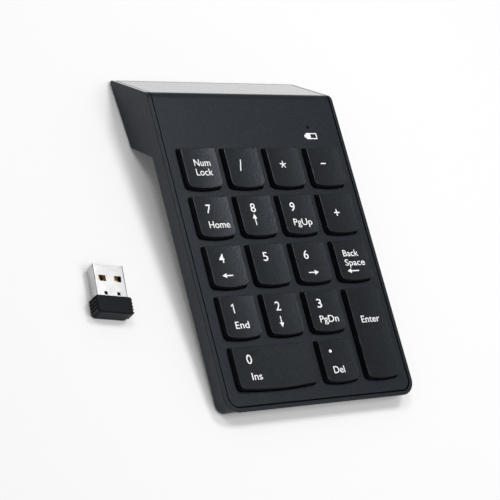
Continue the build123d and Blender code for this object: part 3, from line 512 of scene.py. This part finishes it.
def addDomes():
    # hollow rubber domes, one under each key
    sizes = ("footRadius", "headRadius", "wallMm", "roofMm")
    foot, head, wall, roof = (domeLook[name] * mm for name in sizes)
    bottom, top = deckSpan("dome_sheet")[2]
    webTop = bottom + domeLook["webMm"] * mm
    top -= domeLook["headGapMm"] * mm
    centres = {name: deckMiddle(name) for name in keyNodes}
    addWeb(centres, foot - wall, bottom, webTop)
    profile = [
        (foot, bottom), (foot, webTop), (head, top - wall), (head * domeLook["headEdge"], top), (0.0, top),
        (0.0, top - roof), (head - wall / 2, top - roof), (foot - wall, webTop), (foot - wall, bottom),
    ]
    for name, (x, y) in centres.items():
        bm = bmesh.new()
        points = [bm.verts.new(deckPoint(x + radius, y, up)) for radius, up in profile]
        lines = []
        for i, point in enumerate(points):
            if profile[i][0] + profile[i - 1][0] > 0.0:  # no line along the axis
                lines.append(bm.edges.new((points[i - 1], point)))
        bmesh.ops.spin(
            bm, geom=points + lines, cent=deckPoint(x, y, 0.0), axis=deckUp, angle=2 * math.pi,
            steps=domeLook["steps"], use_merge=True,
        )
        pieceName, joint = name.replace("key_", "dome_"), name.replace("key_", "press_")
        dome = meshPiece(pieceName, bm, materials["greySilicone"], "housing")
        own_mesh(dome)


addDomes()
print("domes made:", len(keyNodes))

legendLook = {
    "inkMm": 0.03,  # thickness of the print above the plastic
    "sinkMm": 0.02,  # and below it, so that no light gets under
    "strokeMm": 0.015,  # extra weight of the letters
    "curveSteps": 6,
    "capitalShare": 0.729,  # height of a capital in letters of size 1
    "digitHeight": 3.55,
    "digitFoot": 1.35,
    "wordHeight": 2.75,
    "wordFoot": -4.35,
    "arrowShaft": 0.42,
    "arrowHead": 1.9,
    "arrowHeadLength": 1.9,
    "starArms": 5,
    "starReach": 1.45,
    "starHalfArm": 0.22,
    "laidFromMm": 5.0,  # height over a piece from which its print is laid down
}
printThickness = legendLook["inkMm"] + legendLook["sinkMm"]
digit, digitFoot = legendLook["digitHeight"], legendLook["digitFoot"]
word, wordFoot = legendLook["wordHeight"], legendLook["wordFoot"]

# the figure 1, drawn from its own left end and foot
oneOutline = [(0.62, 0.0), (1.06, 0.0), (1.06, 3.55), (0.72, 3.55), (0.0, 2.9), (0.0, 2.45), (0.62, 2.85)]

# per key, in millimetres from its middle: text, left end, foot, height and width,
# or an arrow's tail and tip, or the left end and foot of the figure 1
legends = {
    "key_num_lock": [("Num", -3.0, 0.75, word, 7.0), ("Lock", -3.0, -2.95, word, 7.2)],
    "key_divide": [("/", -2.5, -1.4, 4.5, 1.6)],
    "key_multiply": [("star", -1.25, 1.0)],
    "key_minus": [("-", -2.4, 1.0, 0.5, 2.4)],
    "key_7": [("7", -2.9, digitFoot, digit, 2.1), ("Home", -3.3, wordFoot, word, 8.9)],
    "key_8": [("8", -2.4, digitFoot, digit, 2.2), ((-1.5, -3.8), (-1.5, 0.7))],
    "key_9": [("9", -3.4, digitFoot, digit, 2.2), ("PgUp", -3.6, wordFoot, word, 8.4)],
    "key_plus": [("+", -2.6, -1.1, 2.6, 2.6)],
    "key_4": [("4", -2.9, digitFoot, digit, 2.3), ((1.4, -3.5), (-3.3, -3.5))],
    "key_5": [("5", -2.6, digitFoot, digit, 2.2)],
    "key_6": [("6", -3.2, digitFoot, digit, 2.2), ((-3.0, -4.0), (1.7, -4.0))],
    "key_backspace": [
        ("Back", -3.9, 1.6, 2.6, 7.2), ("Space", -4.0, -2.1, 2.6, 9.2), ((1.6, -4.2), (-3.9, -4.2)),
    ],
    "key_1": [(-3.0, digitFoot), ("End", -3.2, wordFoot, word, 5.9)],
    "key_2": [("2", -3.0, digitFoot, digit, 2.2), ((-2.0, -0.8), (-2.0, -5.1))],
    "key_3": [("3", -3.2, digitFoot, digit, 2.2), ("PgDn", -3.7, wordFoot, word, 8.5)],
    "key_enter": [("Enter", -3.8, 4.0, word, 8.5)],
    "key_0": [("0", -11.9, digitFoot + 0.2, digit, 2.3), ("Ins", -11.4, wordFoot, word, 4.5)],
    "key_decimal": [(".", -3.6, 3.1, 1.2, 1.2), ("Del", -3.7, wordFoot - 0.3, word, 5.0)],
}


def textShape(text, left, foot, height, width):
    # flat closed letters in millimetres, fitted to a height and width
    curveHalf = 0.5  # half the thickness of the letters before they are fitted
    curve = bpy.data.curves.new("letters", "FONT")
    curve.body = text
    curve.resolution_u = legendLook["curveSteps"]
    curve.extrude = curveHalf
    curve.offset = legendLook["strokeMm"] / height
    holder = placeObject("letters", curve)
    bpy.context.view_layer.update()
    mesh = bpy.data.meshes.new_from_object(holder)
    bpy.data.objects.remove(holder)
    bpy.data.curves.remove(curve)
    low = [min(vertex.co[i] for vertex in mesh.vertices) for i in range(2)]
    high = [max(vertex.co[i] for vertex in mesh.vertices) for i in range(2)]
    # letters that hang below the line keep the height of a capital, and signs fill their own height
    isWord = text[0].isalnum()
    line = 0.0 if isWord else low[1]
    capital = legendLook["capitalShare"] if isWord else high[1] - low[1]
    for vertex in mesh.vertices:
        x, y, z = vertex.co
        vertex.co = (
            left + (x - low[0]) / (high[0] - low[0]) * width,
            foot + (y - line) / capital * height,
            (z + curveHalf) * printThickness,
        )
    return mesh


def printShape(*outlines):
    return meshOf(raisedShape(outlines, printThickness), "shape")


def arrowShape(tail, tip):
    # shaft and solid head as one outline, from its tail to its tip
    start, end = Vector(tail), Vector(tip)
    along = (end - start).normalized()
    side = Vector((-along.y, along.x))
    neck = end - along * legendLook["arrowHeadLength"]
    shaft, head = side * legendLook["arrowShaft"] / 2, side * legendLook["arrowHead"] / 2
    right, left = [start - shaft, neck - shaft, neck - head], [neck + head, neck + shaft, start + shaft]
    return printShape(right + [end] + left)


def starShape(x, y):
    # arms of one width, whose sides meet in the notches between them
    turn = 2 * math.pi / legendLook["starArms"]
    half, middle = legendLook["starHalfArm"], Vector((x, y))
    outline = []
    for i in range(legendLook["starArms"]):
        angle = math.pi / 2 + i * turn
        tip = Vector((math.cos(angle), math.sin(angle))) * legendLook["starReach"]
        side = Vector((-math.sin(angle), math.cos(angle))) * half
        notch = Vector((math.cos(angle + turn / 2), math.sin(angle + turn / 2))) * half / math.sin(turn / 2)
        outline += [middle + tip - side, middle + tip + side, middle + notch]
    return printShape(outline)


def markShape(mark):
    if mark[0] == "star":
        return starShape(mark[1], mark[2])
    if isinstance(mark[0], str):
        return textShape(*mark)
    if isinstance(mark[0], tuple):
        return arrowShape(*mark)
    return printShape([(mark[0] + x, mark[1] + y) for x, y in oneOutline])


def printOn(nodeName, shapes, pieceName, middle):
    # lays flat shapes on a node's upper surface, following its hollow
    surface = nodes[nodeName]
    tree = BVHTree.FromPolygons(
        [vertex.co for vertex in surface.data.vertices],
        [polygon.vertices for polygon in surface.data.polygons],
    )
    bm = bmesh.new()
    for shape in shapes:
        bm.from_mesh(shape)
        bpy.data.meshes.remove(shape)
    start = deckSpan(nodeName)[2][1] + legendLook["laidFromMm"] * mm
    for vertex in bm.verts:
        x, y, z = vertex.co * mm
        hit = tree.ray_cast(deckPoint(middle[0] + x, middle[1] + y, start), -deckUp)[0]
        vertex.co = hit + deckUp * (z - legendLook["sinkMm"] * mm)
    meshPiece(pieceName, bm, materials["whiteInk"], surface["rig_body"])


for nodeName, marks in legends.items():
    shapes = [markShape(mark) for mark in marks]
    printOn(nodeName, shapes, nodeName.replace("key_", "legend_"), deckMiddle(nodeName))
print("legends printed on", len(legends), "keys")

batteryMark = {
    "besideLampMm": (0.17, -3.6),  # from the lamp's window to the middle of the mark
    "body": (-2.15, 2.95, 1.25),  # left end, right end and half height
    "nub": (-2.95, 0.6),  # left end and half height
    "open": (-0.1, 2.5, 0.8),  # the part without charge: left end, right end and half height
}


def addBatteryMark():
    # outline of a battery with its charged part filled, printed below the lamp
    left, right, half = batteryMark["body"]
    nubLeft, nubHalf = batteryMark["nub"]
    openLeft, openRight, openHalf = batteryMark["open"]
    outline = [
        (left, -half), (right, -half), (right, half), (left, half),
        (left, nubHalf), (nubLeft, nubHalf), (nubLeft, -nubHalf), (left, -nubHalf),
    ]
    window = [
        (openLeft, -openHalf), (openRight, -openHalf), (openRight, openHalf), (openLeft, openHalf),
    ]
    lampX, lampY = deckMiddle("lamp_window")
    stepX, stepY = batteryMark["besideLampMm"]
    middle = (lampX + stepX * mm, lampY + stepY * mm)
    printOn("top_cover", [printShape(outline, window)], "battery_mark", middle)


addBatteryMark()
print("battery mark printed")

studioLook = {
    "floorSize": 6.0,
    "floorColors": [(0.0, "#f2f2f2"), (1.0, "#f4f4f4")],
    "cloudMm": 300.0,
    "floorRough": 0.9,
    "floorShine": 0.1,
    "floorGlow": 0.07,  # what the camera and reflections see on top of the floor's own light
    "backdrop": 0.955,
    "worldLight": 0.26,
    "white": "#ffffff",
    # place and disk size in metres, and power; each lamp faces the middle of the desk
    "mainLamp": {"place": (0.26, -0.5, 1.25), "size": 0.9, "power": 7.4},
    "topLamp": {"place": (0.19, 0.2, 0.72), "size": 0.22, "power": 1.75},
    "leftLamp": {"place": (-0.5, 0.5, 1.25), "size": 0.5, "power": 3.8},
}


def makeFloor():
    # pale paper, which takes the object's shadow
    bm = bmesh.new()
    bmesh.ops.create_grid(bm, x_segments=1, y_segments=1, size=studioLook["floorSize"] / 2)
    floor = placeObject("floor", meshOf(bm, "floor"))
    material, tree, shader, place = startMaterial("floorPaper")
    color = rampOf(tree, noiseOf(tree, place, studioLook["cloudMm"]), studioLook["floorColors"])
    tree.links.new(color, shader.inputs["Base Color"])
    shader.inputs["Roughness"].default_value = studioLook["floorRough"]
    shader.inputs["Specular IOR Level"].default_value = studioLook["floorShine"]
    shader.inputs["Emission Color"].default_value = linearColor(studioLook["white"])
    # the glow shows to the camera, in mirrors and through clear plastic, and lights nothing
    rays = addNode(tree, "ShaderNodeLightPath").outputs
    seen = combine(tree, "MAXIMUM", rays["Is Camera Ray"], rays["Is Glossy Ray"])
    seen = combine(tree, "MAXIMUM", seen, rays["Is Transmission Ray"])
    glow = rangeOf(tree, seen, 0.0, studioLook["floorGlow"])
    tree.links.new(glow, shader.inputs["Emission Strength"])
    floor.data.materials.append(material)


def addLamp(name):
    look = studioLook[name]
    data = bpy.data.lights.new(name, "AREA")
    data.energy = look["power"]
    data.shape = "DISK"
    data.size = look["size"]
    lamp = placeObject(name, data)
    lamp.location = look["place"]
    lamp.rotation_euler = (-lamp.location).to_track_quat("-Z", "Y").to_euler()


def makeWorld():
    # even light from all round, and a white backdrop beyond the floor
    world = bpy.data.worlds.new("studio")
    world.use_nodes = True
    tree = world.node_tree
    tree.nodes.clear()
    camera = addNode(tree, "ShaderNodeLightPath").outputs["Is Camera Ray"]
    strength = rangeOf(tree, camera, studioLook["worldLight"], studioLook["backdrop"])
    color = linearColor(studioLook["white"])
    light = addNode(tree, "ShaderNodeBackground", {"Color": color}, {"Strength": strength})
    addNode(tree, "ShaderNodeOutputWorld", links={"Surface": light.outputs[0]})
    bpy.context.scene.world = world


makeFloor()
makeWorld()
for lampName in ("mainLamp", "topLamp", "leftLamp"):
    addLamp(lampName)
bpy.context.scene.view_settings.view_transform = "Standard"
print("studio ready")
